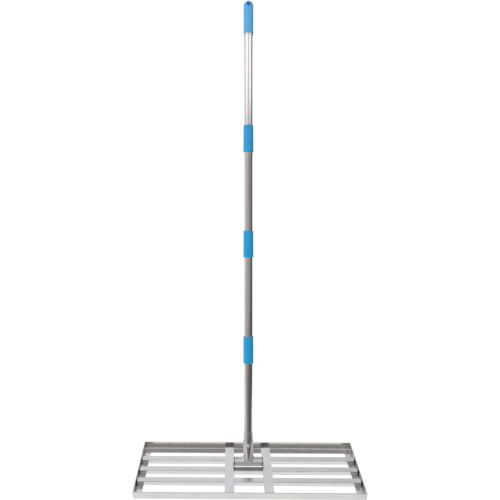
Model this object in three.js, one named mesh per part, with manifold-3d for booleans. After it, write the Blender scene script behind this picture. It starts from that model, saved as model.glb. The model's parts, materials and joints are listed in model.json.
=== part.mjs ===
// Lawn levelling rake: a steel ground plate of angle rails, cross bars and straps, and a
// four-piece screw-together pole that tilts on a pivot pin between two lugs.
// Millimetres, +Z up, +X to the right, -Y to the front. The origin is on the ground, at the
// middle of the front rail's flat underside.

import * as THREE from 'three';
import { mergeVertices } from 'three/addons/utils/BufferGeometryUtils.js';
import Module from 'manifold-3d';

const wasm = await Module();
wasm.setup();

// ---- driving dimensions ----
const PLATE_WIDTH = 914.4; // 36 in, along X
const PLATE_DEPTH = 254; // 10 in, along Y
const GAP = 0.3; // clearance between neighbouring pieces

const RAIL = { height: 36, flange: 30, sheet: 3, root: 3.5, heel: 4, lip: 1 };

const BAR = { size: 21.8, wall: 1.2, corner: 2, pitch: 53, middleY: -5.1 };

const STRAP = {
  width: 38.6,
  inner: 59, // from the middle of the rake to the strap's near edge
  sheet: 3,
  length: 224,
  middleY: -6.2,
  bend: 4,
  footRise: 0.9,
};

const LUG = { thickness: 4, halfWidth: 17.5 };
const PIVOT = { y: 13.2, z: 44.8, pinRadius: 5, boreRadius: 5.3 };
const REST_LEAN = 21.4; // degrees that the pole leans back from upright

const CROSS_TUBE = { radius: 16.5, wall: 2.2, halfLength: 56.8 };
const BUSH = { flangeRadius: 17.6, flange: 1.6, depth: 18 };
const PIN_HEAD = { radius: 7.5, height: 1.8 };

const TUBE = { radius: 17.5, wall: 1.2 };
const SOCKET = { radius: 21, wall: 3.2, bottom: 14, top: 91, seat: 20 };
const COLLAR = { bottomRadius: 20, topRadius: 18.6, height: 34, foot: 4 };
const SOCKET_SCREW = { height: 75, radius: 3, boreRadius: 3.3, headRadius: 6.4, head: 3.2 };
const SOCKET_NUT = { acrossFlats: 10, height: 6, threadPastNut: 1.5 };
const SCREW_CHAMFER = 0.8;

const COUPLING = {
  centres: [469, 912, 1356], // distance from the pivot, along the pole
  length: 112.5,
  topRadius: 20.9,
  bottomRadius: 21.7,
  rim: 3,
  stopRadius: 16.7,
  stopHalfHeight: 0.8,
};
const THREAD = { radius: 9.8, root: 8.6, pitch: 4, turns: 8 };
const BUSHING = { length: 38, boreRadius: 10.2 };
const PLUG_LENGTH = 30;

const GRIP = { bottom: 1801, top: 1941, radius: 20.8, holeRadius: 7.5, holeDrop: 20.8 };
const GRIP_BORE_DEPTH = 100;
const FERRULE = { height: 9, topRadius: 19.4, bottomRadius: 18.4 };

const ROUND = 32; // facets round a large circle
const SMALL_ROUND = 16; // facets round a fastener or thread
const ARC_STEPS = 3; // facets in a quarter turn of a bend
const HEAD_STEPS = 4; // facets up the side of a screw head
const DOME_STEPS = 10; // facets up the side of the grip's dome

// ---- derived places ----
const flangeTop = RAIL.sheet;
const barBottom = flangeTop + GAP;
const barTop = barBottom + BAR.size;
const strapBottom = barTop + GAP;
const strapTop = strapBottom + STRAP.sheet;
const lugBottom = strapTop + GAP;
const lugOuter = STRAP.inner + LUG.thickness;
const bushOuter = CROSS_TUBE.halfLength + GAP + BUSH.flange;
const boreRadius = TUBE.radius + GAP;
const originFromRailFace = (RAIL.heel + RAIL.flange - RAIL.lip) / 2;

// ---- materials ----
function metal(color, roughness) {
  return new THREE.MeshStandardMaterial({ color, roughness, metalness: 1 });
}

function plastic(color, roughness) {
  return new THREE.MeshStandardMaterial({ color, roughness, metalness: 0 });
}

const finish = {
  rail: metal(0xa8a5a2, 0.3),
  bar: metal(0xcfced4, 0.32),
  strap: metal(0xd0d0d4, 0.5),
  tube: metal(0xb9b4b0, 0.22),
  fastener: metal(0xc2c4c8, 0.3),
  coupling: plastic(0x2f96cf, 0.4),
  grip: plastic(0x63b4ea, 0.45),
  nylon: plastic(0x26282c, 0.6),
  insert: plastic(0x1d5f8c, 0.5),
};

const rake = new THREE.Group();
const plate = new THREE.Group(); // built about the middle of the plate
plate.position.y = PLATE_DEPTH / 2 - originFromRailFace;
rake.add(plate);

function addTo(parent, name, geometry, material) {
  const mesh = new THREE.Mesh(geometry, material.clone());
  mesh.name = name;
  parent.add(mesh);
  return mesh;
}

// ---- solids ----
function toManifold(geometry) {
  const bare = geometry.clone();
  bare.deleteAttribute('normal');
  bare.deleteAttribute('uv');
  const merged = mergeVertices(bare, 1e-4);
  const vertProperties = new Float32Array(merged.attributes.position.array);
  const triVerts = new Uint32Array(merged.index.array);
  return new wasm.Manifold(new wasm.Mesh({ numProp: 3, vertProperties, triVerts }));
}

function fromManifold(solid) {
  const mesh = solid.getMesh();
  const geometry = new THREE.BufferGeometry();
  geometry.setAttribute('position', new THREE.BufferAttribute(mesh.vertProperties, 3));
  geometry.setIndex(new THREE.BufferAttribute(mesh.triVerts, 1));
  return geometry;
}

function cut(geometry, ...tools) {
  let solid = toManifold(geometry);
  for (const tool of tools) {
    solid = solid.subtract(toManifold(tool));
  }
  return fromManifold(solid);
}

// A turned piece on the Z axis. The profile holds [radius, height] pairs, anticlockwise.
function turned(profile, facets = ROUND) {
  const points = profile.map(([radius, height]) => new THREE.Vector2(radius, height));
  const geometry = new THREE.LatheGeometry(points, facets);
  geometry.rotateX(Math.PI / 2);
  return geometry;
}

// A straight tube on the Z axis.
function ring(outer, inner, bottom, top, facets = ROUND) {
  const profile = [
    [inner, bottom],
    [outer, bottom],
    [outer, top],
    [inner, top],
    [inner, bottom],
  ];
  return turned(profile, facets);
}

function rod(radius, bottom, top, facets = SMALL_ROUND) {
  const geometry = new THREE.CylinderGeometry(radius, radius, top - bottom, facets);
  geometry.rotateX(Math.PI / 2);
  geometry.translate(0, 0, (bottom + top) / 2);
  return geometry;
}

// Turns a piece from the Z axis onto the X axis, its top to the right.
function alongX(geometry) {
  return geometry.rotateY(Math.PI / 2);
}

// Turns a piece from the Z axis onto the Y axis, its top to the back.
function alongY(geometry) {
  return geometry.rotateX(-Math.PI / 2);
}

// A shape drawn in (Y, Z), drawn out along X from one side to the other.
function drawnAlongX(shape, left, right) {
  const geometry = new THREE.ExtrudeGeometry(shape, {
    depth: right - left,
    bevelEnabled: false,
    curveSegments: ARC_STEPS,
  });
  const axes = new THREE.Matrix4().makeBasis(
    new THREE.Vector3(0, 1, 0),
    new THREE.Vector3(0, 0, 1),
    new THREE.Vector3(1, 0, 0),
  );
  geometry.applyMatrix4(axes);
  geometry.translate(left, 0, 0);
  return geometry;
}

function circlePoints(y, z, radius, facets = SMALL_ROUND) {
  const points = [];
  for (let i = 0; i < facets; i += 1) {
    const angle = i / facets * 2 * Math.PI;
    points.push(new THREE.Vector2(y + radius * Math.cos(angle), z + radius * Math.sin(angle)));
  }
  return points;
}

function roundedSquare(path, half, radius) {
  const side = half - radius;
  const corners = [[1, -1], [1, 1], [-1, 1], [-1, -1]];
  corners.forEach(([h, v], index) => {
    const start = (index - 1) * Math.PI / 2;
    path.absarc(h * side, v * side, radius, start, start + Math.PI / 2, false);
  });
  path.closePath();
  return path;
}

// ---- ground plate ----

// The section of an angle rail: (distance in from the outer face, height), anticlockwise.
function railShape() {
  const { height, flange, sheet, root, heel, lip } = RAIL;
  const quarter = Math.PI / 2;
  const shape = new THREE.Shape();
  shape.moveTo(heel, 0);
  shape.lineTo(flange - lip, 0);
  shape.absarc(flange - lip, lip, lip, -quarter, 0, false);
  shape.absarc(flange - lip, sheet - lip, lip, 0, quarter, false);
  shape.absarc(sheet + root, sheet + root, root, -quarter, -2 * quarter, true);
  shape.absarc(sheet - lip, height - lip, lip, 0, quarter, false);
  shape.absarc(lip, height - lip, lip, quarter, 2 * quarter, false);
  shape.absarc(heel, heel, heel, 2 * quarter, 3 * quarter, false);
  return shape;
}

// A rail along X whose outer face is at Y = -distance, with its ends mitred at 45 degrees.
function railGeometry(length, distance) {
  const half = length / 2;
  const geometry = drawnAlongX(railShape(), -half, half);
  const position = geometry.attributes.position;
  for (let i = 0; i < position.count; i += 1) {
    const inward = position.getY(i);
    const end = Math.sign(position.getX(i));
    position.setX(i, end * (half - inward - GAP / 2));
  }
  geometry.translate(0, -distance, 0);
  return geometry;
}

function addRails() {
  const halfWidth = PLATE_WIDTH / 2;
  const halfDepth = PLATE_DEPTH / 2;
  const rails = [
    ['front_rail', PLATE_WIDTH, halfDepth],
    ['right_end_rail', PLATE_DEPTH, halfWidth],
    ['back_rail', PLATE_WIDTH, halfDepth],
    ['left_end_rail', PLATE_DEPTH, halfWidth],
  ];
  rails.forEach(([name, length, distance], quarterTurns) => {
    const mesh = addTo(plate, name, railGeometry(length, distance), finish.rail);
    mesh.rotation.z = quarterTurns * Math.PI / 2;
  });
}

function addCrossBars() {
  const half = BAR.size / 2;
  const reach = PLATE_WIDTH / 2 - RAIL.sheet - RAIL.root - GAP; // short of the rail's root
  const shape = roundedSquare(new THREE.Shape(), half, BAR.corner);
  shape.holes.push(roundedSquare(new THREE.Path(), half - BAR.wall, BAR.corner - BAR.wall));
  const names = ['front_cross_bar', 'middle_cross_bar', 'rear_cross_bar'];
  names.forEach((name, index) => {
    const mesh = addTo(plate, name, drawnAlongX(shape, -reach, reach), finish.bar);
    mesh.position.set(0, BAR.middleY + (index - 1) * BAR.pitch, barBottom + half);
  });
}

// A strap is bent like a bridge: it lies over the bars and stands on the two long rails.
function strapShape() {
  const { sheet, length, bend, footRise } = STRAP;
  const half = length / 2;
  const foot = flangeTop + footRise;
  const inside = bend - sheet;
  const quarter = Math.PI / 2;
  const shape = new THREE.Shape();
  shape.moveTo(-half, foot);
  shape.lineTo(-half + sheet, foot);
  shape.absarc(-half + bend, strapTop - bend, inside, 2 * quarter, quarter, true);
  shape.absarc(half - bend, strapTop - bend, inside, quarter, 0, true);
  shape.lineTo(half - sheet, foot);
  shape.lineTo(half, foot);
  shape.absarc(half - bend, strapTop - bend, bend, 0, quarter, false);
  shape.absarc(-half + bend, strapTop - bend, bend, quarter, 2 * quarter, false);
  return shape;
}

function lugShape() {
  const shape = new THREE.Shape();
  shape.moveTo(PIVOT.y - LUG.halfWidth, lugBottom);
  shape.lineTo(PIVOT.y + LUG.halfWidth, lugBottom);
  shape.absarc(PIVOT.y, PIVOT.z, LUG.halfWidth, 0, Math.PI, false);
  shape.holes.push(new THREE.Path(circlePoints(PIVOT.y, PIVOT.z, PIVOT.boreRadius)));
  return shape;
}

function addStrapsAndLugs() {
  const outer = STRAP.inner + STRAP.width;
  const sides = [['left', -outer, -lugOuter], ['right', STRAP.inner, STRAP.inner]];
  for (const [side, strapLeft, lugLeft] of sides) {
    const strap = drawnAlongX(strapShape(), strapLeft, strapLeft + STRAP.width);
    addTo(plate, `${side}_strap`, strap, finish.strap).position.y = STRAP.middleY;
    const lug = drawnAlongX(lugShape(), lugLeft, lugLeft + LUG.thickness);
    addTo(plate, `${side}_pivot_lug`, lug, finish.strap);
  }
}

// ---- pivot pin, fixed to the plate ----

// A solid pin on the X axis, with a low domed head closed down over each lug.
function addPivotPin() {
  const { radius, height } = PIN_HEAD;
  const seat = lugOuter + GAP;
  const head = [];
  for (let step = 0; step < HEAD_STEPS; step += 1) {
    const angle = step / HEAD_STEPS * Math.PI / 2;
    head.push([radius * Math.cos(angle), seat + height * Math.sin(angle)]);
  }
  head.push([0, seat + height]);
  const foot = head.map(([along, up]) => [along, -up]).reverse();
  const profile = [...foot, [PIVOT.pinRadius, -seat], [PIVOT.pinRadius, seat], ...head];
  const pin = alongX(turned(profile, SMALL_ROUND));
  addTo(plate, 'pivot_pin', pin, finish.fastener).position.set(0, PIVOT.y, PIVOT.z);
}

// ---- handle: built upright on the pivot, then leaned back as one group ----

const handle = new THREE.Group();
handle.position.set(0, PIVOT.y, PIVOT.z);
handle.rotation.x = -THREE.MathUtils.degToRad(REST_LEAN);
plate.add(handle);

function addCrossTube() {
  const { radius, wall, halfLength } = CROSS_TUBE;
  const tube = ring(radius, radius - wall, -halfLength, halfLength);
  addTo(handle, 'cross_tube', alongX(tube), finish.tube);
}

// A flanged nylon bush: its flange is the thrust face against the lug.
function addPivotBushes() {
  const outer = CROSS_TUBE.radius - CROSS_TUBE.wall - GAP;
  const inner = bushOuter - BUSH.flange;
  const end = inner - BUSH.depth;
  const profile = [
    [PIVOT.boreRadius, end],
    [outer, end],
    [outer, inner],
    [BUSH.flangeRadius, inner],
    [BUSH.flangeRadius, bushOuter],
    [PIVOT.boreRadius, bushOuter],
    [PIVOT.boreRadius, end],
  ];
  addTo(handle, 'right_pivot_bush', alongX(turned(profile)), finish.nylon);
  const left = addTo(handle, 'left_pivot_bush', alongX(turned(profile)), finish.nylon);
  left.rotation.z = Math.PI;
}

function screwBore() {
  const reach = SOCKET.radius + GAP;
  const bore = alongY(rod(SOCKET_SCREW.boreRadius, -reach, reach));
  bore.translate(0, 0, SOCKET_SCREW.height);
  return bore;
}

// The socket is cut at its foot to saddle the cross tube, and drilled for its screw.
function addSocket() {
  const { radius, wall, bottom, top } = SOCKET;
  const body = ring(radius, radius - wall, bottom, top);
  const reach = radius + GAP;
  const saddle = alongX(rod(CROSS_TUBE.radius + GAP, -reach, reach, ROUND));
  addTo(handle, 'handle_socket', cut(body, saddle, screwBore()), finish.tube);
}

function addSocketCollar() {
  const { bottomRadius, topRadius, height, foot } = COLLAR;
  const bottom = SOCKET.top + GAP;
  const profile = [
    [boreRadius, bottom],
    [bottomRadius, bottom],
    [bottomRadius, bottom + foot],
    [topRadius, bottom + height],
    [boreRadius, bottom + height],
    [boreRadius, bottom],
  ];
  addTo(handle, 'socket_collar', turned(profile), finish.tube);
}

// A hexagon nut on the Z axis.
function nutGeometry(acrossFlats, height, bore) {
  const shape = new THREE.Shape(circlePoints(0, 0, acrossFlats / Math.sqrt(3), 6));
  shape.holes.push(new THREE.Path(circlePoints(0, 0, bore)));
  return new THREE.ExtrudeGeometry(shape, { depth: height, bevelEnabled: false });
}

// A button-head screw on the Z axis: the head is below zero and the shank runs up to its tip.
function buttonScrew(radius, headRadius, head, shankTop) {
  const profile = [[0, -head]];
  for (let step = 1; step <= HEAD_STEPS; step += 1) {
    const angle = step / HEAD_STEPS * Math.PI / 2;
    profile.push([headRadius * Math.sin(angle), -head * Math.cos(angle)]);
  }
  profile.push([radius, 0], [radius, shankTop - SCREW_CHAMFER]);
  profile.push([radius - SCREW_CHAMFER, shankTop], [0, shankTop]);
  return turned(profile, SMALL_ROUND);
}

function addSocketScrew() {
  const { radius, headRadius, head, height } = SOCKET_SCREW;
  const seat = SOCKET.radius + GAP;
  const { acrossFlats, height: nutHeight, threadPastNut } = SOCKET_NUT;
  const shank = 2 * seat + nutHeight + threadPastNut;
  const screw = alongY(buttonScrew(radius, headRadius, head, shank));
  addTo(handle, 'socket_screw', screw, finish.fastener).position.set(0, -seat, height);
  const nut = alongY(nutGeometry(acrossFlats, nutHeight, SOCKET_SCREW.boreRadius));
  addTo(handle, 'socket_nut', nut, finish.fastener).position.set(0, seat, height);
}

// Four tubes, each ending on the stop ring inside a coupling.
function addTubes() {
  const stop = COUPLING.stopHalfHeight + GAP;
  const [first, second, third] = COUPLING.centres;
  const tubes = [
    ['lower_tube', SOCKET.seat, first - stop],
    ['second_tube', first + stop, second - stop],
    ['third_tube', second + stop, third - stop],
    ['top_tube', third + stop, GRIP.bottom + GRIP_BORE_DEPTH - GAP],
  ];
  for (const [name, bottom, top] of tubes) {
    const tube = ring(TUBE.radius, TUBE.radius - TUBE.wall, bottom, top);
    const geometry = name === 'lower_tube' ? cut(tube, screwBore()) : tube;
    addTo(handle, name, geometry, finish.tube);
  }
}

// The blue sleeve over a joint in the pole, with a stop ring at mid-length.
function couplingGeometry() {
  const { length, topRadius, bottomRadius, rim, stopRadius, stopHalfHeight } = COUPLING;
  const half = length / 2;
  const profile = [
    [boreRadius, -half],
    [bottomRadius - rim / 2, -half],
    [bottomRadius - rim / 6, -half + rim / 2],
    [bottomRadius, -half + rim],
    [topRadius, half - rim],
    [topRadius - rim / 6, half - rim / 2],
    [topRadius - rim / 2, half],
    [boreRadius, half],
    [boreRadius, stopHalfHeight],
    [stopRadius, stopHalfHeight],
    [stopRadius, -stopHalfHeight],
    [boreRadius, -stopHalfHeight],
    [boreRadius, -half],
  ];
  return turned(profile);
}

// The threaded plug in the foot of the upper tube: a plain body and a threaded stud below it.
function plugGeometry() {
  const { radius, root, pitch, turns } = THREAD;
  const body = TUBE.radius - TUBE.wall - GAP;
  const foot = COUPLING.stopHalfHeight + GAP;
  const stud = foot - (turns + 1) * pitch;
  const profile = [[0, stud], [root, stud]];
  for (let turn = 0; turn < turns; turn += 1) {
    const crest = stud + (turn + 1) * pitch;
    profile.push([root, crest - pitch / 4], [radius, crest], [root, crest + pitch / 4]);
  }
  profile.push([root, foot], [body, foot], [body, foot + PLUG_LENGTH], [0, foot + PLUG_LENGTH]);
  return turned(profile, SMALL_ROUND);
}

function addCouplings() {
  const nutOuter = TUBE.radius - TUBE.wall - GAP;
  const nutTop = -COUPLING.stopHalfHeight - GAP;
  const names = ['lower', 'middle', 'upper'];
  names.forEach((name, index) => {
    const height = COUPLING.centres[index];
    const pieces = [
      [`${name}_coupling_sleeve`, couplingGeometry(), finish.coupling],
      [`${name}_threaded_plug`, plugGeometry(), finish.insert],
      [
        `${name}_threaded_insert`,
        ring(nutOuter, BUSHING.boreRadius, nutTop - BUSHING.length, nutTop),
        finish.insert,
      ],
    ];
    for (const [pieceName, geometry, material] of pieces) {
      addTo(handle, pieceName, geometry, material).position.z = height;
    }
  });
}

// The hand grip: a domed cap over the end of the top tube, with a hanging hole across it.
function addGrip() {
  const { bottom, top, radius, holeRadius, holeDrop } = GRIP;
  const profile = [
    [0, bottom + GRIP_BORE_DEPTH],
    [boreRadius, bottom + GRIP_BORE_DEPTH],
    [boreRadius, bottom],
    [radius, bottom],
  ];
  for (let step = 0; step <= DOME_STEPS; step += 1) {
    const angle = step / DOME_STEPS * Math.PI / 2;
    profile.push([radius * Math.cos(angle), top - radius + radius * Math.sin(angle)]);
  }
  const reach = radius + GAP;
  const hole = alongY(rod(holeRadius, -reach, reach));
  hole.translate(0, 0, top - holeDrop);
  addTo(handle, 'hand_grip', cut(turned(profile), hole), finish.grip);
}

function addGripFerrule() {
  const { height, topRadius, bottomRadius } = FERRULE;
  const top = GRIP.bottom - GAP;
  const profile = [
    [boreRadius, top - height],
    [bottomRadius, top - height],
    [topRadius, top],
    [boreRadius, top],
    [boreRadius, top - height],
  ];
  addTo(handle, 'grip_ferrule', turned(profile), finish.tube);
}

addRails();
addCrossBars();
addStrapsAndLugs();
addPivotPin();
addCrossTube();
addPivotBushes();
addSocket();
addSocketCollar();
addSocketScrew();
addTubes();
addCouplings();
addGrip();
addGripFerrule();

export default rake;
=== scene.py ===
# Lawn levelling rake: looks, studio and camera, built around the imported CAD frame.
# Lengths are millimetres unless a comment says metres. Finished meshes are in metres, in the row frame.
import json
import math

import bmesh
import bpy
from mathutils import Matrix, Vector


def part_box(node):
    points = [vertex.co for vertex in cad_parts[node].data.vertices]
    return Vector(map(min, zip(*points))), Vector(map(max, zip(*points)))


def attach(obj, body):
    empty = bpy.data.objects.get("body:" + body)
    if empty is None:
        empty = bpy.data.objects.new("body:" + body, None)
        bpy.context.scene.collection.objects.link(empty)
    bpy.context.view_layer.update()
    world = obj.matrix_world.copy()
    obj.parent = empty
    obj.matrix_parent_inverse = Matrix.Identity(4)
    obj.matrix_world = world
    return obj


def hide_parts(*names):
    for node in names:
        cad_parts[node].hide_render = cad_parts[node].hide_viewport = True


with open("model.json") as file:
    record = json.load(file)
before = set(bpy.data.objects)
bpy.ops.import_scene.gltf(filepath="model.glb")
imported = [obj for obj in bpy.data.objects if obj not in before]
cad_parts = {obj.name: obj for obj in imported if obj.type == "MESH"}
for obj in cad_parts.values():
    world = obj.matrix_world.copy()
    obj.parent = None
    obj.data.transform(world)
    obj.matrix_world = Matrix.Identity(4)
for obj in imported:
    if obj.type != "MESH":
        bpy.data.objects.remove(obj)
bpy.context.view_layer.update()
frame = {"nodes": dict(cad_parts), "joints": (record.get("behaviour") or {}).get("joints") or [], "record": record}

MM = 0.001  # metres in a millimetre
nodes = frame["nodes"]
pivot = Vector(frame["joints"][0]["pos_m"])

# places that pieces are made in: on the pole's axis from the pivot, or from the plate's middle
LEAN = math.radians(21.4)
POLE = Matrix.Translation(pivot) @ Matrix.Rotation(-LEAN, 4, "X")
PLATE_Y = (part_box("front_rail")[0].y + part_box("back_rail")[1].y) / 2 / MM
PLATE = Matrix.Translation((0, PLATE_Y * MM, 0))
PIVOT_Y = pivot.y / MM - PLATE_Y  # the pivot, from the plate's middle
PIVOT_Z = pivot.z / MM
# turns that lay an upright axis along X, or point it to the back
TO_X = Matrix.Rotation(math.radians(90), 4, "Y")
TO_BACK = Matrix.Rotation(math.radians(-90), 4, "X")

# ground plate
PLATE_WIDTH, PLATE_DEPTH = 914.4, 254
RAIL_HEIGHT, RAIL_FLANGE, RAIL_SHEET = 36, 30, 3
MITRE_GAP = 0.15  # what each rail stops short of its mitre
BAR_HALF, BAR_INSIDE, BAR_REACH = 10.9, 9.7, 450.4  # half sides and half length
BAR_PITCH, BARS_Y, BAR_AXIS = 53, -5.1, 14.2
STRAP_WIDTH, STRAP_REACH, STRAPS_Y = 38.6, 112, -6.2
STRAP_FOOT, STRAP_TOP, STRAP_SHEET, STRAP_BEND = 3.9, 28.4, 3, 4
STRAP_INNER_EDGE = 59  # from the plate's middle, and the lugs' inner faces are flush with it
LUG_RADIUS, LUG_BORE, LUG_SHEET, LUG_FOOT = 17.5, 5.3, 4, 28.7
# pivot and pole
PIN_RADIUS, PIN_HEAD, PIN_REACH, PIN_DOME = 5, 7.5, 63.3, 1.8
CROSS_RADIUS, CROSS_BORE, CROSS_REACH = 16.5, 14.3, 56.8
SOCKET_RADIUS, SOCKET_BORE, SOCKET_FOOT, SOCKET_TOP = 21, 17.8, 14, 91
SCREW_HEIGHT, SCREW_SEAT, SCREW_HEAD = 75, 21.3, 6.4
TUBE_RADIUS, TUBE_BORE = 17.5, 16.3
TUBES = (("lower_tube", 20, 467.9), ("second_tube", 470.1, 910.9),
         ("third_tube", 913.1, 1354.9), ("top_tube", 1357.1, 1900.7))
COUPLINGS = (("lower", 469), ("middle", 912), ("upper", 1356))
GRIP_FOOT, GRIP_BORE_TOP, GRIP_DOME, GRIP_RADIUS, GRIP_TOP = 1801, 1901, 1920.2, 20.8, 1941

# ---------------------------------------------------------------- mesh helpers


def finish_mesh(name, bm, body, stands_for, material, matrix, sharp=35):
    """Turns a bmesh in millimetres into a piece that rides on a body.

    Edges that turn more than sharp degrees stay sharp.
    """
    bmesh.ops.remove_doubles(bm, verts=bm.verts, dist=0.001)
    bmesh.ops.recalc_face_normals(bm, faces=bm.faces)
    limit = math.radians(sharp)
    for face in bm.faces:
        face.smooth = True
    for edge in bm.edges:
        edge.smooth = len(edge.link_faces) == 2 and edge.calc_face_angle(0) < limit
    mesh = bpy.data.meshes.new(name)
    bm.to_mesh(mesh)
    bm.free()
    mesh.transform(Matrix.Scale(MM, 4))
    mesh.transform(matrix)
    mesh.materials.append(material)
    piece = bpy.data.objects.new(name, mesh)
    bpy.context.scene.collection.objects.link(piece)
    # flats keep their own normal right up to the rounded edges beside them
    shading = piece.modifiers.new("shading", "WEIGHTED_NORMAL")
    shading.keep_sharp = True
    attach(piece, body)
    if stands_for:
        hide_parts(*stands_for)


STRAIGHT = 0.12  # a corner that turns less than this, in radians, is left alone


def eased(points, radius, steps=4, closed=True):
    """Rounds each corner of a polyline with a short curve."""
    out = []
    count = len(points)
    for i, point in enumerate(points):
        p = Vector(point)
        if not closed and i in (0, count - 1):
            out.append(tuple(p))
            continue
        a = Vector(points[i - 1])
        b = Vector(points[(i + 1) % count])
        to_a, to_b = a - p, b - p
        turn = to_a.angle(-to_b) if to_a.length and to_b.length else 0
        if turn < STRAIGHT:
            out.append(tuple(p))
            continue
        reach = min(radius, to_a.length * 0.45, to_b.length * 0.45)
        start, end = p + to_a.normalized() * reach, p + to_b.normalized() * reach
        for k in range(steps + 1):
            t = k / steps
            out.append(tuple(start * (1 - t) ** 2 + p * 2 * t * (1 - t) + end * t ** 2))
    return out


def lathe(profile, segments=96, closed=True):
    """A turned solid on the Z axis; profile is (radius, height). Open profiles end on the axis."""
    bm = bmesh.new()
    rings = []
    for radius, height in profile:
        if radius < 1e-6:
            rings.append([bm.verts.new((0, 0, height))])
            continue
        angles = [2 * math.pi * i / segments for i in range(segments)]
        rings.append([bm.verts.new((radius * math.cos(t), radius * math.sin(t), height))
                      for t in angles])
    pairs = list(zip(rings, rings[1:]))
    if closed:
        pairs.append((rings[-1], rings[0]))
    for low, high in pairs:
        for i in range(segments):
            j = (i + 1) % segments
            corners = [low[i % len(low)], low[j % len(low)], high[j % len(high)], high[i % len(high)]]
            unique = list(dict.fromkeys(corners))
            if len(unique) > 2:
                bm.faces.new(unique)
    return bm


def prism(outline, x0, x1, slices=1, mitre=False):
    """An outline in (y, z) drawn out along X. With mitre, each end is cut at 45 degrees by y."""
    bm = bmesh.new()
    rows = []
    for k in range(slices + 1):
        t = k / slices
        row = []
        for y, z in outline:
            low, high = (x0 + y, x1 - y) if mitre else (x0, x1)
            row.append(bm.verts.new((low + (high - low) * t, y, z)))
        rows.append(row)
    count = len(outline)
    for a, b in zip(rows, rows[1:]):
        for i in range(count):
            j = (i + 1) % count
            bm.faces.new((a[i], a[j], b[j], b[i]))
    bm.faces.new(list(reversed(rows[0])))
    bm.faces.new(rows[-1])
    return bm


def holed_prism(outer, inner, x0, x1):
    """A plate between two outlines in (y, z) of the same count, drawn out along X."""
    bm = bmesh.new()
    count = len(outer)
    loops = [[bm.verts.new((x, y, z)) for y, z in loop] for x in (x0, x1) for loop in (outer, inner)]
    outer0, inner0, outer1, inner1 = loops
    for i in range(count):
        j = (i + 1) % count
        bm.faces.new((outer0[i], outer0[j], outer1[j], outer1[i]))
        bm.faces.new((inner1[i], inner1[j], inner0[j], inner0[i]))
        bm.faces.new((outer0[j], outer0[i], inner0[i], inner0[j]))
        bm.faces.new((outer1[i], outer1[j], inner1[j], inner1[i]))
    return bm


def bevel(bm, width, limit):
    """Rounds every edge that turns more than limit degrees."""
    bmesh.ops.recalc_face_normals(bm, faces=bm.faces)
    limit = math.radians(limit)
    edges = [e for e in bm.edges if len(e.link_faces) == 2 and e.calc_face_angle(0) > limit]
    bmesh.ops.bevel(bm, geom=edges, offset=width, segments=2, affect="EDGES", profile=0.5,
                    clamp_overlap=True)
    return bm


def arc(cy, cz, radius, start, end, steps):
    """Points on an arc, angles in degrees."""
    out = []
    for k in range(steps + 1):
        t = math.radians(start + (end - start) * k / steps)
        out.append((cy + radius * math.cos(t), cz + radius * math.sin(t)))
    return out


def bead(start, stop, radius):
    """A level weld bead that tapers at both ends, with the ripple that each weld puddle leaves."""
    pitch, around = 3.2, 10  # from one puddle to the next, and points round the bead
    start, stop = Vector(start), Vector(stop)
    steps = max(1, round((stop - start).length / (pitch / 5)))
    path = [start.lerp(stop, k / steps) for k in range(steps)] + [stop]
    bm = bmesh.new()
    rings = []
    travelled = 0.0
    for i, p in enumerate(path):
        ahead = path[min(i + 1, steps)]
        behind = path[max(i - 1, 0)]
        tangent = (ahead - behind).normalized()
        side = tangent.cross(Vector((0, 0, 1))).normalized()
        up = side.cross(tangent)
        travelled += (p - behind).length
        ripple = 1 + 0.14 * abs(math.sin(math.pi * travelled / pitch)) - 0.05
        taper = min(1.0, 0.35 + min(i, steps - i) * 0.16)
        size = radius * ripple * taper
        rings.append([bm.verts.new(p + (side * math.cos(t) + up * math.sin(t)) * size)
                      for t in (2 * math.pi * k / around for k in range(around))])
    for a, b in zip(rings, rings[1:]):
        for k in range(around):
            m = (k + 1) % around
            bm.faces.new((a[k], a[m], b[m], b[k]))
    bm.faces.new(list(reversed(rings[0])))
    bm.faces.new(rings[-1])
    return bm


# ---------------------------------------------------------------- materials


def new_material(name):
    material = bpy.data.materials.new(name)
    material.use_nodes = True
    tree = material.node_tree
    tree.nodes.clear()
    out = tree.nodes.new("ShaderNodeOutputMaterial")
    shader = tree.nodes.new("ShaderNodeBsdfPrincipled")
    tree.links.new(shader.outputs[0], out.inputs[0])
    return material, tree, shader


EVEN = (1, 1, 1)  # stretch of a grain with no direction
ALONG_X = (0.02, 1, 1)
ALONG_Y = (1, 0.02, 1)
ALONG_POLE = (1, 1, 0.02)
UNTURNED = (0, 0, 0)


def noise(tree, scale, stretch=EVEN, rotate=UNTURNED, detail=4):
    """Noise on the piece's own coordinates, turned, then drawn out by stretch."""
    coords = tree.nodes.new("ShaderNodeTexCoord")
    mapping = tree.nodes.new("ShaderNodeMapping")
    mapping.inputs["Rotation"].default_value = rotate
    mapping.inputs["Scale"].default_value = stretch
    texture = tree.nodes.new("ShaderNodeTexNoise")
    texture.inputs["Scale"].default_value = scale
    texture.inputs["Detail"].default_value = detail
    texture.inputs["Roughness"].default_value = 0.6
    tree.links.new(coords.outputs["Object"], mapping.inputs["Vector"])
    tree.links.new(mapping.outputs["Vector"], texture.inputs["Vector"])
    return texture.outputs["Fac"]


NOISE_LOW, NOISE_HIGH = 0.3, 0.7  # nearly all of a noise lies between these


def spread(tree, value, low, high):
    """Spreads a noise over the values from low to high."""
    node = tree.nodes.new("ShaderNodeMapRange")
    node.inputs["From Min"].default_value = NOISE_LOW
    node.inputs["From Max"].default_value = NOISE_HIGH
    node.inputs["To Min"].default_value = low
    node.inputs["To Max"].default_value = high
    tree.links.new(value, node.inputs["Value"])
    return node.outputs["Result"]


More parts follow.
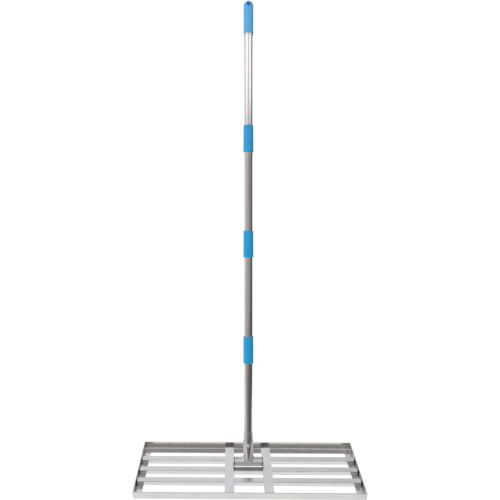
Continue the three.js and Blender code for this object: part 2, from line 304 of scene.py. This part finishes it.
def ramp(tree, value, first, second):
    """Spreads a noise over the colours from first to second."""
    node = tree.nodes.new("ShaderNodeValToRGB")
    node.color_ramp.elements[0].position = NOISE_LOW
    node.color_ramp.elements[1].position = NOISE_HIGH
    node.color_ramp.elements[0].color = (*first, 1)
    node.color_ramp.elements[1].color = (*second, 1)
    tree.links.new(value, node.inputs["Fac"])
    return node.outputs["Color"]


def bump(tree, shader, height, strength):
    node = tree.nodes.new("ShaderNodeBump")
    node.inputs["Strength"].default_value = strength
    node.inputs["Distance"].default_value = 0.0002
    tree.links.new(height, node.inputs["Height"])
    tree.links.new(node.outputs["Normal"], shader.inputs["Normal"])


def steel(name, dark, light, low, high, stretch=EVEN, rotate=UNTURNED, grain=900, strength=0.06):
    """Bare steel: a drawn grain, a cloudy tone from dark to light, and roughness from low to high."""
    material, tree, shader = new_material(name)
    shader.inputs["Metallic"].default_value = 1.0
    streaks = noise(tree, grain, stretch, rotate, detail=3)
    clouds = noise(tree, 22, detail=5)
    tree.links.new(ramp(tree, clouds, dark, light), shader.inputs["Base Color"])
    tree.links.new(spread(tree, streaks, low, high), shader.inputs["Roughness"])
    bump(tree, shader, streaks, strength)
    return material


def plastic(name, dark, light, rough, strength=0.12):
    """Moulded plastic: a faint cloudy tone and a fine pitted skin."""
    material, tree, shader = new_material(name)
    clouds = noise(tree, 30)
    pits = noise(tree, 1600, detail=2)
    tree.links.new(ramp(tree, clouds, dark, light), shader.inputs["Base Color"])
    tree.links.new(spread(tree, pits, rough - 0.05, rough + 0.07), shader.inputs["Roughness"])
    bump(tree, shader, pits, strength)
    return material


rail_steel = steel("rail_steel", (0.60, 0.592, 0.586), (0.65, 0.643, 0.637), 0.11, 0.20,
                   ALONG_X, strength=0.02)
end_steel = steel("end_rail_steel", (0.60, 0.592, 0.586), (0.65, 0.643, 0.637), 0.10, 0.19,
                  ALONG_Y, strength=0.02)
bar_steel = steel("bar_steel", (0.615, 0.615, 0.63), (0.66, 0.66, 0.68), 0.16, 0.26,
                  ALONG_X, strength=0.025)
strap_steel = steel("strap_steel", (0.69, 0.69, 0.71), (0.80, 0.80, 0.825), 0.24, 0.34,
                    grain=300, strength=0.12)
tube_steel = steel("tube_steel", (0.605, 0.59, 0.58), (0.64, 0.625, 0.615), 0.09, 0.14,
                   ALONG_POLE, (LEAN, 0, 0), strength=0.012)
cross_steel = steel("cross_tube_steel", (0.60, 0.61, 0.60), (0.69, 0.70, 0.69), 0.46, 0.58,
                    ALONG_X, strength=0.04)
fastener_steel = steel("fastener_steel", (0.66, 0.67, 0.69), (0.74, 0.75, 0.76), 0.10, 0.18, grain=400)
weld_steel = steel("weld_steel", (0.34, 0.33, 0.32), (0.60, 0.59, 0.58), 0.25, 0.42,
                   grain=500, strength=0.2)
coupling_blue = plastic("coupling_blue", (0.012, 0.345, 0.70), (0.018, 0.385, 0.78), 0.38)
grip_blue = plastic("grip_blue", (0.09, 0.44, 0.84), (0.115, 0.48, 0.90), 0.42, strength=0.2)
black_nylon = plastic("black_nylon", (0.012, 0.012, 0.014), (0.02, 0.02, 0.022), 0.5)
insert_blue = plastic("insert_blue", (0.02, 0.13, 0.27), (0.03, 0.16, 0.32), 0.5)

by_slot = {
    "rail_steel": rail_steel, "bar_steel": bar_steel, "strap_steel": strap_steel,
    "tube_steel": tube_steel, "fastener_steel": fastener_steel, "blue_coupling": coupling_blue,
    "blue_grip": grip_blue, "black_nylon": black_nylon, "blue_insert": insert_blue,
}
# every CAD node gets its finish, those that a piece stands for as well
for row in frame["record"]["subparts"]:
    mesh = nodes[row["node"]].data
    mesh.materials.clear()
    mesh.materials.append(by_slot[row["material_slot"]])

# ---------------------------------------------------------------- pieces


def drilled(body, tool):
    """Cuts one mesh out of another and returns what is left."""
    made = []
    for bm in (body, tool):
        mesh = bpy.data.meshes.new("cutting")
        bm.to_mesh(mesh)
        bm.free()
        made.append(bpy.data.objects.new("cutting", mesh))
        bpy.context.scene.collection.objects.link(made[-1])
    cutter = made[0].modifiers.new("cut", "BOOLEAN")
    cutter.operation = "DIFFERENCE"
    cutter.solver = "EXACT"
    cutter.object = made[1]
    graph = bpy.context.evaluated_depsgraph_get()
    result = bmesh.new()
    result.from_mesh(made[0].evaluated_get(graph).to_mesh())
    for item in made:
        bpy.data.objects.remove(item, do_unlink=True)
    return result


def rail_outline():
    """Section of an angle rail: (distance in from the outer face, height)."""
    lip, fillet, heel = 1, 4.5, 4  # radii of the edges, the inner corner and the outer corner
    inner = RAIL_SHEET + fillet
    return (arc(RAIL_FLANGE - lip, lip, lip, -90, 0, 5)
            + arc(RAIL_FLANGE - lip, RAIL_SHEET - lip, lip, 0, 90, 5)
            + arc(inner, inner, fillet, -90, -180, 9)
            + arc(RAIL_SHEET - lip, RAIL_HEIGHT - lip, lip, 0, 90, 5)
            + arc(lip, RAIL_HEIGHT - lip, lip, 90, 180, 5)
            + arc(heel, heel, heel, 180, 270, 9))


def rails():
    """Four mitred rails, each a quarter turn on from the one before."""
    for turn, name in enumerate(("front_rail", "right_end_rail", "back_rail", "left_end_rail")):
        length, across = (PLATE_WIDTH, PLATE_DEPTH) if turn % 2 == 0 else (PLATE_DEPTH, PLATE_WIDTH)
        bm = prism(rail_outline(), -length / 2 + MITRE_GAP, length / 2 - MITRE_GAP, 6, mitre=True)
        spot = (PLATE @ Matrix.Rotation(turn * math.pi / 2, 4, "Z")
                @ Matrix.Translation((0, -across / 2 * MM, 0)))
        steel_here = rail_steel if turn % 2 == 0 else end_steel
        finish_mesh(f"look_{name}", bm, "ground_plate", (name,), steel_here, spot)


def rounded_square(half, corner):
    side = half - corner
    out = []
    for k, (h, v) in enumerate(((1, -1), (1, 1), (-1, 1), (-1, -1))):
        out += arc(h * side, v * side, corner, (k - 1) * 90, k * 90, 7)
    return out


def cross_bars():
    for k, name in enumerate(("front_cross_bar", "middle_cross_bar", "rear_cross_bar")):
        outer, inner = rounded_square(BAR_HALF, 2), rounded_square(BAR_INSIDE, 0.8)
        bm = holed_prism(outer, inner, -BAR_REACH, BAR_REACH)
        spot = PLATE @ Matrix.Translation((0, (BARS_Y + BAR_PITCH * (k - 1)) * MM, BAR_AXIS * MM))
        finish_mesh(f"look_{name}", bm, "ground_plate", (name,), bar_steel, spot)


def strap_outline():
    """Section of a strap from front to back, with both ends turned down."""
    bend_y, bend_z = STRAP_REACH - STRAP_BEND, STRAP_TOP - STRAP_BEND
    inside = STRAP_BEND - STRAP_SHEET
    return ([(-STRAP_REACH, STRAP_FOOT), (-STRAP_REACH + STRAP_SHEET, STRAP_FOOT)]
            + arc(-bend_y, bend_z, inside, 180, 90, 5)
            + arc(bend_y, bend_z, inside, 90, 0, 5)
            + [(STRAP_REACH - STRAP_SHEET, STRAP_FOOT), (STRAP_REACH, STRAP_FOOT)]
            + arc(bend_y, bend_z, STRAP_BEND, 0, 90, 8)
            + arc(-bend_y, bend_z, STRAP_BEND, 90, 180, 8))


def lug_outline():
    """The lug and its bore: two loops about the pivot, with one point in each for every angle."""
    drop = PIVOT_Z - LUG_FOOT
    corner = math.atan2(drop, LUG_RADIUS)
    angles = sorted({2 * math.pi * k / 72 for k in range(72)} | {math.pi + corner, 2 * math.pi - corner})
    outer = []
    for t in angles:
        r = LUG_RADIUS
        if t > math.pi:  # straight sides and a flat foot below the pivot
            r = min(LUG_RADIUS / max(abs(math.cos(t)), 1e-9), drop / abs(math.sin(t)))
        outer.append((r * math.cos(t), r * math.sin(t)))
    return outer, [(LUG_BORE * math.cos(t), LUG_BORE * math.sin(t)) for t in angles]


def straps_and_lugs():
    for side in ("left", "right"):
        at = STRAP_INNER_EDGE
        x0, x1 = (-at - STRAP_WIDTH, -at) if side == "left" else (at, at + STRAP_WIDTH)
        bm = bevel(prism(strap_outline(), x0, x1), 0.45, 50)
        finish_mesh(f"look_{side}_strap", bm, "ground_plate", (f"{side}_strap",),
                    strap_steel, PLATE @ Matrix.Translation((0, STRAPS_Y * MM, 0)))
        x0, x1 = (-at - LUG_SHEET, -at) if side == "left" else (at, at + LUG_SHEET)
        bm = bevel(holed_prism(*lug_outline(), x0, x1), 0.4, 50)
        finish_mesh(f"look_{side}_lug", bm, "ground_plate", (f"{side}_pivot_lug",),
                    strap_steel, Matrix.Translation(pivot))


def pivot_parts():
    """The riveted pin, and the cross tube and its two flanged bushes that turn on it."""
    head = [(PIN_HEAD * math.cos(t), PIN_REACH + PIN_DOME * math.sin(t))
            for t in (math.pi / 2 * k / 8 for k in range(8))]
    head.append((0, PIN_REACH + PIN_DOME))
    foot = [(r, -z) for r, z in reversed(head)]
    pin = lathe(foot + [(PIN_RADIUS, -PIN_REACH), (PIN_RADIUS, PIN_REACH)] + head, 48, closed=False)
    finish_mesh("look_pivot_pin", pin, "ground_plate", ("pivot_pin",), fastener_steel,
                Matrix.Translation(pivot) @ TO_X)
    wall = [(CROSS_BORE, -CROSS_REACH), (CROSS_RADIUS, -CROSS_REACH),
            (CROSS_RADIUS, CROSS_REACH), (CROSS_BORE, CROSS_REACH)]
    tube = lathe(eased(wall, 0.5))
    finish_mesh("look_cross_tube", tube, "handle", ("cross_tube",), cross_steel,
                POLE @ TO_X)
    for side, turn in (("right", 0), ("left", math.pi)):
        profile = [(5.3, 39.1), (14, 39.1), (14, 57.1), (17.6, 57.1), (17.6, 58.7), (5.3, 58.7)]
        finish_mesh(f"look_{side}_bush", lathe(eased(profile, 0.4)), "handle", (f"{side}_pivot_bush",),
                    black_nylon, POLE @ Matrix.Rotation(turn, 4, "Z") @ TO_X)


def socket_low(radius, angle):
    """Height of the socket's lower rim, which is cut to saddle the cross tube."""
    across = radius * math.sin(angle)
    clear = CROSS_RADIUS + 0.3  # a hair's gap stands for the weld
    return max(SOCKET_FOOT, math.sqrt(max(clear ** 2 - across ** 2, 0)))


def socket():
    count, rows = 120, 14
    bm = bmesh.new()
    angles = [2 * math.pi * k / count for k in range(count)]
    skins = []
    for radius in (SOCKET_RADIUS, SOCKET_BORE):
        grid = []
        for row in range(rows + 1):
            ring = []
            for t in angles:
                low = socket_low(radius, t)
                height = low + (SOCKET_TOP - low) * (row / rows)
                ring.append(bm.verts.new((radius * math.cos(t), radius * math.sin(t), height)))
            grid.append(ring)
        skins.append(grid)
    outer, inner = skins
    for k in range(count):
        m = (k + 1) % count
        for row in range(rows):
            bm.faces.new((outer[row][k], outer[row][m], outer[row + 1][m], outer[row + 1][k]))
            bm.faces.new((inner[row][m], inner[row][k], inner[row + 1][k], inner[row + 1][m]))
        bm.faces.new((outer[rows][k], outer[rows][m], inner[rows][m], inner[rows][k]))
        bm.faces.new((outer[0][m], outer[0][k], inner[0][k], inner[0][m]))
    finish_mesh("look_socket", bm, "handle", ("handle_socket",), tube_steel, POLE)


def socket_fillet():
    """The weld round the foot of the socket: a hollow fillet that is larger along the cross tube."""
    count, steps = 120, 8
    bm = bmesh.new()
    rings = []
    for k in range(count):
        t = 2 * math.pi * k / count
        along = abs(math.cos(t))  # 1 where the weld runs out along the cross tube, 0 at front and back
        ripple = 0.18 * abs(math.sin(t * 34))
        low = socket_low(SOCKET_RADIUS, t)
        top = Vector((21.05 * math.cos(t), 21.05 * math.sin(t), low + 9 + 4 * along))
        corner = Vector((21.1 * math.cos(t), 21.1 * math.sin(t), low))
        toe = SOCKET_RADIUS + 1.5 + 9 * along
        across = max(-16.3, min(16.3, toe * math.sin(t)))
        foot = Vector((toe * math.cos(t), across, math.sqrt(CROSS_RADIUS ** 2 - across ** 2)))
        hidden = Vector((19 * math.cos(t), 15.5 * math.sin(t), max(low - 2, 3)))
        ring = []
        for j in range(steps + 1):
            u = j / steps
            p = top * (1 - u) ** 2 + corner * 2 * u * (1 - u) + foot * u ** 2
            ring.append(p + Vector((math.cos(t), math.sin(t), 0.5)) * (ripple * math.sin(math.pi * u)))
        ring.append(hidden)
        rings.append([bm.verts.new(p) for p in ring])
    for k in range(count):
        a, b = rings[k], rings[(k + 1) % count]
        for j in range(len(a)):
            n = (j + 1) % len(a)
            bm.faces.new((a[j], b[j], b[n], a[n]))
    finish_mesh("look_socket_fillet", bm, "handle", (), cross_steel, POLE, sharp=60)


def socket_fittings():
    """The tapered collar on top of the socket, and the screw and nut that hold the pole in it."""
    collar = [(17.8, 91.3), (20, 91.3), (20, 95.3), (18.6, 125.3), (17.8, 125.3)]
    finish_mesh("look_collar", lathe(eased(collar, 0.6)), "handle", ("socket_collar",),
                tube_steel, POLE)
    recess = [(0, -1.6), (1.9, -2.0), (2.1, -3.05)]
    dome = [(SCREW_HEAD * math.sin(t), -3.2 * math.cos(t))
            for t in (math.radians(20 + 70 * k / 7) for k in range(8))]
    shank = [(3, 0), (3, 49.3), (2.2, 50.1), (0, 50.1)]
    screw = lathe(recess + dome + shank, 48, closed=False)
    finish_mesh("look_socket_screw", screw, "handle", ("socket_screw",),
                fastener_steel,
                POLE @ Matrix.Translation((0, -SCREW_SEAT * MM, SCREW_HEIGHT * MM)) @ TO_BACK, sharp=30)
    nut = bmesh.new()
    around = [2 * math.pi * k / 6 for k in range(6)]
    loops = [[nut.verts.new((r * math.cos(t), r * math.sin(t), z)) for t in around]
             for r, z in ((3.3, 0), (5.77, 0), (5.77, 6), (3.3, 6))]
    for a, b in zip(loops, loops[1:] + loops[:1]):
        for k in range(6):
            nut.faces.new((a[k], a[(k + 1) % 6], b[(k + 1) % 6], b[k]))
    bevel(nut, 0.5, 20)
    finish_mesh("look_socket_nut", nut, "handle", ("socket_nut",), fastener_steel,
                POLE @ Matrix.Translation((0, SCREW_SEAT * MM, SCREW_HEIGHT * MM)) @ TO_BACK)


def pole():
    for name, low, high in TUBES:
        wall = [(TUBE_BORE, low), (TUBE_RADIUS, low), (TUBE_RADIUS, high), (TUBE_BORE, high)]
        finish_mesh(f"look_{name}", lathe(eased(wall, 0.3)), "handle", (name,),
                    tube_steel, POLE)
    # a beaded lower rim, a slight taper and a small lip at the top; inside, a stop between the tubes
    outside = [(17.8, -56.2), (20.2, -56.2), (21.2, -55.4), (21.7, -53.2), (21.7, -51.8), (21.35, -51),
               (21.3, -48), (20.92, 47), (20.65, 51.8), (20.95, 52.4), (20.9, 54), (20, 55.8),
               (19.2, 56.2), (17.8, 56.2)]
    inside = [(17.8, 0.8), (16.7, 0.8), (16.7, -0.8), (17.8, -0.8)]
    for name, height in COUPLINGS:
        sleeve = lathe(eased(outside, 0.7, 5, closed=False) + inside, 128)
        finish_mesh(f"look_{name}_coupling", sleeve, "handle", (f"{name}_coupling_sleeve",),
                    coupling_blue, POLE @ Matrix.Translation((0, 0, height * MM)))


def grip():
    """The domed grip with its hanging hole, and the ferrule below it."""
    rim = GRIP_FOOT + 2  # where the straight side starts, above the rounded lower edge
    outline = [(0, GRIP_BORE_TOP), (17.8, GRIP_BORE_TOP), (17.8, GRIP_FOOT), (20.1, GRIP_FOOT),
               (GRIP_RADIUS, GRIP_FOOT + 0.7), (GRIP_RADIUS, rim)]
    outline += [(GRIP_RADIUS, rim + (GRIP_DOME - rim) * k / 8) for k in range(1, 8)]
    outline += [(GRIP_RADIUS * math.cos(t), GRIP_DOME + GRIP_RADIUS * math.sin(t))
                for t in (math.pi / 2 * k / 20 for k in range(20))]
    outline.append((0, GRIP_TOP))
    flare = [(7.5, 16.9), (8.3, 18.9), (9.6, 20.2), (9.6, 25), (0, 25)]
    hole = lathe([(r, -z) for r, z in reversed(flare)] + flare, 64, closed=False)
    bmesh.ops.transform(hole, verts=hole.verts, matrix=Matrix.Translation((0, 0, GRIP_DOME)) @ TO_BACK)
    bmesh.ops.recalc_face_normals(hole, faces=hole.faces)
    solid = lathe(outline, 128, closed=False)
    bmesh.ops.recalc_face_normals(solid, faces=solid.faces)
    finish_mesh("look_grip", drilled(solid, hole), "handle", ("hand_grip",), grip_blue,
                POLE, sharp=32)
    ferrule = [(17.8, 1791.7), (18.4, 1791.7), (18.5, 1793), (18.8, 1798.4), (19.4, 1799.8),
               (19.4, 1800.7), (17.8, 1800.7)]
    finish_mesh("look_ferrule", lathe(eased(ferrule, 0.3)), "handle", ("grip_ferrule",),
                tube_steel, POLE)


def welds():
    """Weld seams that hold the plate together, one piece for each kind.

    They run along the bars on the end rails' flanges, beside the lugs, and under the straps' feet.
    Each run is (start, stop, radius).
    """
    runs = {"bar": [], "lug": [], "strap": []}
    bar_x0, bar_x1, bar_z = 428.5, 449.5, RAIL_SHEET + 0.4
    lug_x, lug_z = STRAP_INNER_EDGE + LUG_SHEET + 0.2, STRAP_TOP + 0.2
    strap_x0, strap_x1 = STRAP_INNER_EDGE + 1.5, STRAP_INNER_EDGE + STRAP_WIDTH - 1.5
    for side in (-1, 1):
        for k in (-1, 0, 1):
            for edge in (-BAR_HALF, BAR_HALF):
                y = BARS_Y + BAR_PITCH * k + edge
                runs["bar"].append(((side * bar_x0, y, bar_z), (side * bar_x1, y, bar_z), 1.5))
        runs["lug"].append(((side * lug_x, PIVOT_Y - 16, lug_z), (side * lug_x, PIVOT_Y + 16, lug_z), 1.4))
        for y in (STRAPS_Y - STRAP_REACH, STRAPS_Y + STRAP_REACH):
            runs["strap"].append(((side * strap_x0, y, STRAP_FOOT), (side * strap_x1, y, STRAP_FOOT), 1.3))
    for kind, lines in runs.items():
        bm = bmesh.new()
        for line in lines:
            part = bead(*line)
            mesh = bpy.data.meshes.new("run")
            part.to_mesh(mesh)
            part.free()
            bm.from_mesh(mesh)
            bpy.data.meshes.remove(mesh)
        finish_mesh(f"look_{kind}_welds", bm, "ground_plate", (), weld_steel, PLATE,
                    sharp=60)


rails()
cross_bars()
straps_and_lugs()
pivot_parts()
socket()
socket_fillet()
socket_fittings()
pole()
grip()
welds()

# ---------------------------------------------------------------- studio


def colour_band(tree, stops):
    """A colour ramp from (position, grey or colour) pairs."""
    node = tree.nodes.new("ShaderNodeValToRGB")
    elements = node.color_ramp.elements
    for index, (position, value) in enumerate(stops):
        colour = value if isinstance(value, tuple) else (value, value, value)
        if index < 2:
            element = elements[index]
            element.position = position
        else:
            element = elements.new(position)
        element.color = (*colour, 1)
    return node


def world_light():
    """Soft studio surround: white behind, dimmer at the left, dark in front and at the right, and
    softboxes above. The camera itself sees plain white."""
    world = bpy.data.worlds.new("studio")
    bpy.context.scene.world = world
    world.use_nodes = True
    tree = world.node_tree
    tree.nodes.clear()
    link = tree.links.new
    out = tree.nodes.new("ShaderNodeOutputWorld")
    seen = tree.nodes.new("ShaderNodeBackground")
    lit = tree.nodes.new("ShaderNodeBackground")
    mix = tree.nodes.new("ShaderNodeMixShader")
    path = tree.nodes.new("ShaderNodeLightPath")
    seen.inputs["Color"].default_value = (1, 1, 1, 1)
    seen.inputs["Strength"].default_value = 1.1
    lit.inputs["Strength"].default_value = 2.0
    link(path.outputs["Is Camera Ray"], mix.inputs["Fac"])
    link(lit.outputs[0], mix.inputs[1])
    link(seen.outputs[0], mix.inputs[2])
    link(mix.outputs[0], out.inputs[0])
    coords = tree.nodes.new("ShaderNodeTexCoord")
    split = tree.nodes.new("ShaderNodeSeparateXYZ")
    link(coords.outputs["Generated"], split.inputs[0])

    def math_node(kind, a, b=None):
        node = tree.nodes.new("ShaderNodeMath")
        node.operation = kind
        for socket, value in zip(node.inputs, (a, b)):
            if isinstance(value, (int, float)):
                socket.default_value = value
            elif value is not None:
                link(value, socket)
        return node.outputs[0]

    # azimuth as a share of a turn: 0 at the back, 0.25 at the left, 0.5 at the front, 0.75 right
    angle = math_node("ARCTAN2", split.outputs["X"], split.outputs["Y"])
    share = math_node("FRACT", math_node("ADD", math_node("DIVIDE", angle, 2 * math.pi), 1.0))
    turn = math_node("SUBTRACT", 1.0, share)
    # each band is halved here and doubled by the strength, so that it can be brighter than white;
    # low is the surround at floor height, middle is above it, and high is the softboxes
    low = colour_band(tree, [
        (0.00, 0.54), (1.00, 0.54), (0.10, (0.58, 0.57, 0.565)), (0.18, (0.50, 0.49, 0.485)),
        (0.25, (0.42, 0.41, 0.405)), (0.29, (0.34, 0.328, 0.32)), (0.355, (0.28, 0.268, 0.26)),
        (0.39, (0.235, 0.22, 0.212)), (0.44, (0.18, 0.166, 0.158)), (0.486, (0.14, 0.128, 0.12)),
        (0.53, (0.10, 0.090, 0.085)), (0.58, (0.072, 0.065, 0.061)), (0.63, (0.080, 0.072, 0.069)),
        (0.68, (0.09, 0.080, 0.077)), (0.74, (0.08, 0.072, 0.069)), (0.82, (0.045, 0.040, 0.038)),
        (0.90, (0.10, 0.10, 0.10)), (0.95, (0.42, 0.42, 0.42))])
    middle = colour_band(tree, [
        (0.00, 0.13), (1.00, 0.13), (0.10, 0.15), (0.17, 0.34), (0.25, (0.42, 0.41, 0.405)),
        (0.355, (0.37, 0.355, 0.345)), (0.44, (0.29, 0.272, 0.26)), (0.525, (0.22, 0.202, 0.192)),
        (0.61, (0.19, 0.172, 0.163)), (0.70, (0.16, 0.147, 0.141)), (0.82, 0.065), (0.92, 0.09)])
    high = colour_band(tree, [
        (0.00, 0.53), (1.00, 0.53), (0.12, 0.53), (0.25, 0.60), (0.33, 0.90), (0.39, 0.92),
        (0.43, 0.58), (0.47, 0.50), (0.53, 0.48), (0.575, 0.54), (0.61, 0.86), (0.67, 0.92),
        (0.74, 0.50), (0.80, 0.20), (0.87, 0.13), (0.93, 0.42)])

    def step_up(height, start, stop, below, above):
        """Passes from one colour to another as a height climbs from start to stop."""
        rise = tree.nodes.new("ShaderNodeMapRange")
        rise.interpolation_type = "SMOOTHSTEP"
        rise.inputs["From Min"].default_value = start
        rise.inputs["From Max"].default_value = stop
        link(height, rise.inputs["Value"])
        blend = tree.nodes.new("ShaderNodeMix")
        blend.data_type = "RGBA"
        ins = [s for s in blend.inputs if s.type == "RGBA"]
        link(rise.outputs["Result"], blend.inputs["Factor"])
        link(below, ins[0])
        link(above, ins[1])
        return [s for s in blend.outputs if s.type == "RGBA"][0]

    # the softboxes' lower edge: the sine of its elevation, lower at the sides than in front and behind
    edge = colour_band(tree, [
        (0.00, 0.56), (1.00, 0.56), (0.10, 0.56), (0.16, 0.12), (0.25, 0.29), (0.336, 0.45),
        (0.42, 0.545), (0.50, 0.578), (0.58, 0.545), (0.664, 0.45), (0.75, 0.29), (0.84, 0.12),
        (0.90, 0.56)])
    for band in (low, middle, high, edge):
        link(turn, band.inputs["Fac"])
    sides = step_up(split.outputs["Z"], 0.03, 0.23, low.outputs["Color"], middle.outputs["Color"])
    above_edge = math_node("SUBTRACT", split.outputs["Z"], edge.outputs["Color"])
    whole = step_up(above_edge, -0.03, 0.15, sides, high.outputs["Color"])
    # the ceiling dims towards the zenith
    fade = tree.nodes.new("ShaderNodeMapRange")
    fade.inputs["From Min"].default_value = math.sin(math.radians(47))
    fade.inputs["From Max"].default_value = math.sin(math.radians(56))
    fade.inputs["To Min"].default_value = 1.0
    fade.inputs["To Max"].default_value = 0.76
    link(split.outputs["Z"], fade.inputs["Value"])
    dim = tree.nodes.new("ShaderNodeVectorMath")
    dim.operation = "SCALE"
    link(whole, dim.inputs[0])
    link(fade.outputs["Result"], dim.inputs["Scale"])
    link(dim.outputs[0], lit.inputs["Color"])


def emitter(name, strength, colour=(1, 1, 1)):
    material = bpy.data.materials.new(name)
    material.use_nodes = True
    tree = material.node_tree
    tree.nodes.clear()
    out = tree.nodes.new("ShaderNodeOutputMaterial")
    light = tree.nodes.new("ShaderNodeEmission")
    light.inputs["Color"].default_value = (*colour, 1)
    light.inputs["Strength"].default_value = strength
    tree.links.new(light.outputs[0], out.inputs[0])
    return material


def panel(name, centre, size, facing, material):
    """A flat card of the studio, centre and size in metres, turned to face a point."""
    bm = bmesh.new()
    bmesh.ops.create_grid(bm, x_segments=1, y_segments=1, size=0.5)
    mesh = bpy.data.meshes.new(name)
    bm.to_mesh(mesh)
    bm.free()
    card = bpy.data.objects.new(name, mesh)
    bpy.context.scene.collection.objects.link(card)
    mesh.materials.append(material)
    direction = Vector(facing) - Vector(centre)
    turned = direction.to_track_quat("Z", "Y").to_matrix().to_4x4()
    card.matrix_world = Matrix.Translation(centre) @ turned @ Matrix.Diagonal((size[0], size[1], 1, 1))
    card.visible_camera = False
    card.visible_shadow = False
    return card


def floor():
    """The floor as it is seen, and under it the lit patch that the steel reflects."""
    material, tree, shader = new_material("floor")
    shader.inputs["Base Color"].default_value = (0.12, 0.12, 0.12, 1)
    shader.inputs["Roughness"].default_value = 1.0
    shader.inputs["Specular IOR Level"].default_value = 0.0
    shader.inputs["Emission Color"].default_value = (1, 1, 1, 1)
    shader.inputs["Emission Strength"].default_value = 0.97
    ground = panel("floor", (0, 0, -0.0006), (120, 120), (0, 0, 10), material)
    ground.visible_camera = True
    ground.visible_glossy = False
    ground.visible_diffuse = False
    patch = bpy.data.materials.new("lit_patch")
    patch.use_nodes = True
    tree = patch.node_tree
    tree.nodes.clear()
    out = tree.nodes.new("ShaderNodeOutputMaterial")
    light = tree.nodes.new("ShaderNodeEmission")
    clear = tree.nodes.new("ShaderNodeBsdfTransparent")
    mix = tree.nodes.new("ShaderNodeMixShader")
    coords = tree.nodes.new("ShaderNodeTexCoord")
    length = tree.nodes.new("ShaderNodeVectorMath")
    length.operation = "LENGTH"
    # full light out to 0.38 of the card's width from its middle, and none at its rim
    edge = tree.nodes.new("ShaderNodeMapRange")
    edge.interpolation_type = "SMOOTHSTEP"
    edge.inputs["From Min"].default_value = 0.38
    edge.inputs["From Max"].default_value = 0.5
    light.inputs["Strength"].default_value = 1.06
    tree.links.new(coords.outputs["Object"], length.inputs[0])
    tree.links.new(length.outputs["Value"], edge.inputs["Value"])
    tree.links.new(edge.outputs["Result"], mix.inputs["Fac"])
    tree.links.new(light.outputs[0], mix.inputs[1])
    tree.links.new(clear.outputs[0], mix.inputs[2])
    tree.links.new(mix.outputs[0], out.inputs[0])
    panel("lit_patch", (-0.4, 0.25, -0.0010), (2.3, 1.7), (-0.4, 0.25, 10), patch)


world_light()
floor()
room_card = emitter("room_card", 0.50, (1, 0.96, 0.94))
panel("room_card", (0.05, -1.75, 1.7), (2.6, 1.2), (0.05, 0, 1.7), room_card)
fill = emitter("fill_card", 1.6)
fill_card = panel("fill_card", (0.35, -3.2, 2.6), (3.2, 2.4), (0, 0.4, 0.9), fill)
fill_card.visible_glossy = False

# ---------------------------------------------------------------- camera

camera_data = bpy.data.cameras.new("camera")
camera = bpy.data.objects.new("camera", camera_data)
bpy.context.scene.collection.objects.link(camera)
bpy.context.scene.camera = camera
camera_data.lens = 30.25
camera_data.sensor_width = 36
camera_data.shift_x = 0.0471
camera.location = (-0.0731, PLATE_Y * MM - 1.3187, 1.4993)  # metres
# turned a little to the left, looking down, and rolled a hair
YAW, DOWN, ROLL = math.radians(0.662), math.radians(20.797), math.radians(-0.19)
aim = (Matrix.Rotation(YAW, 4, "Z") @ Matrix.Rotation(math.radians(90) - DOWN, 4, "X")
       @ Matrix.Rotation(ROLL, 4, "Z"))
camera.rotation_euler = aim.to_euler()
camera_data.clip_end = 200
bpy.context.scene.view_settings.view_transform = "Standard"
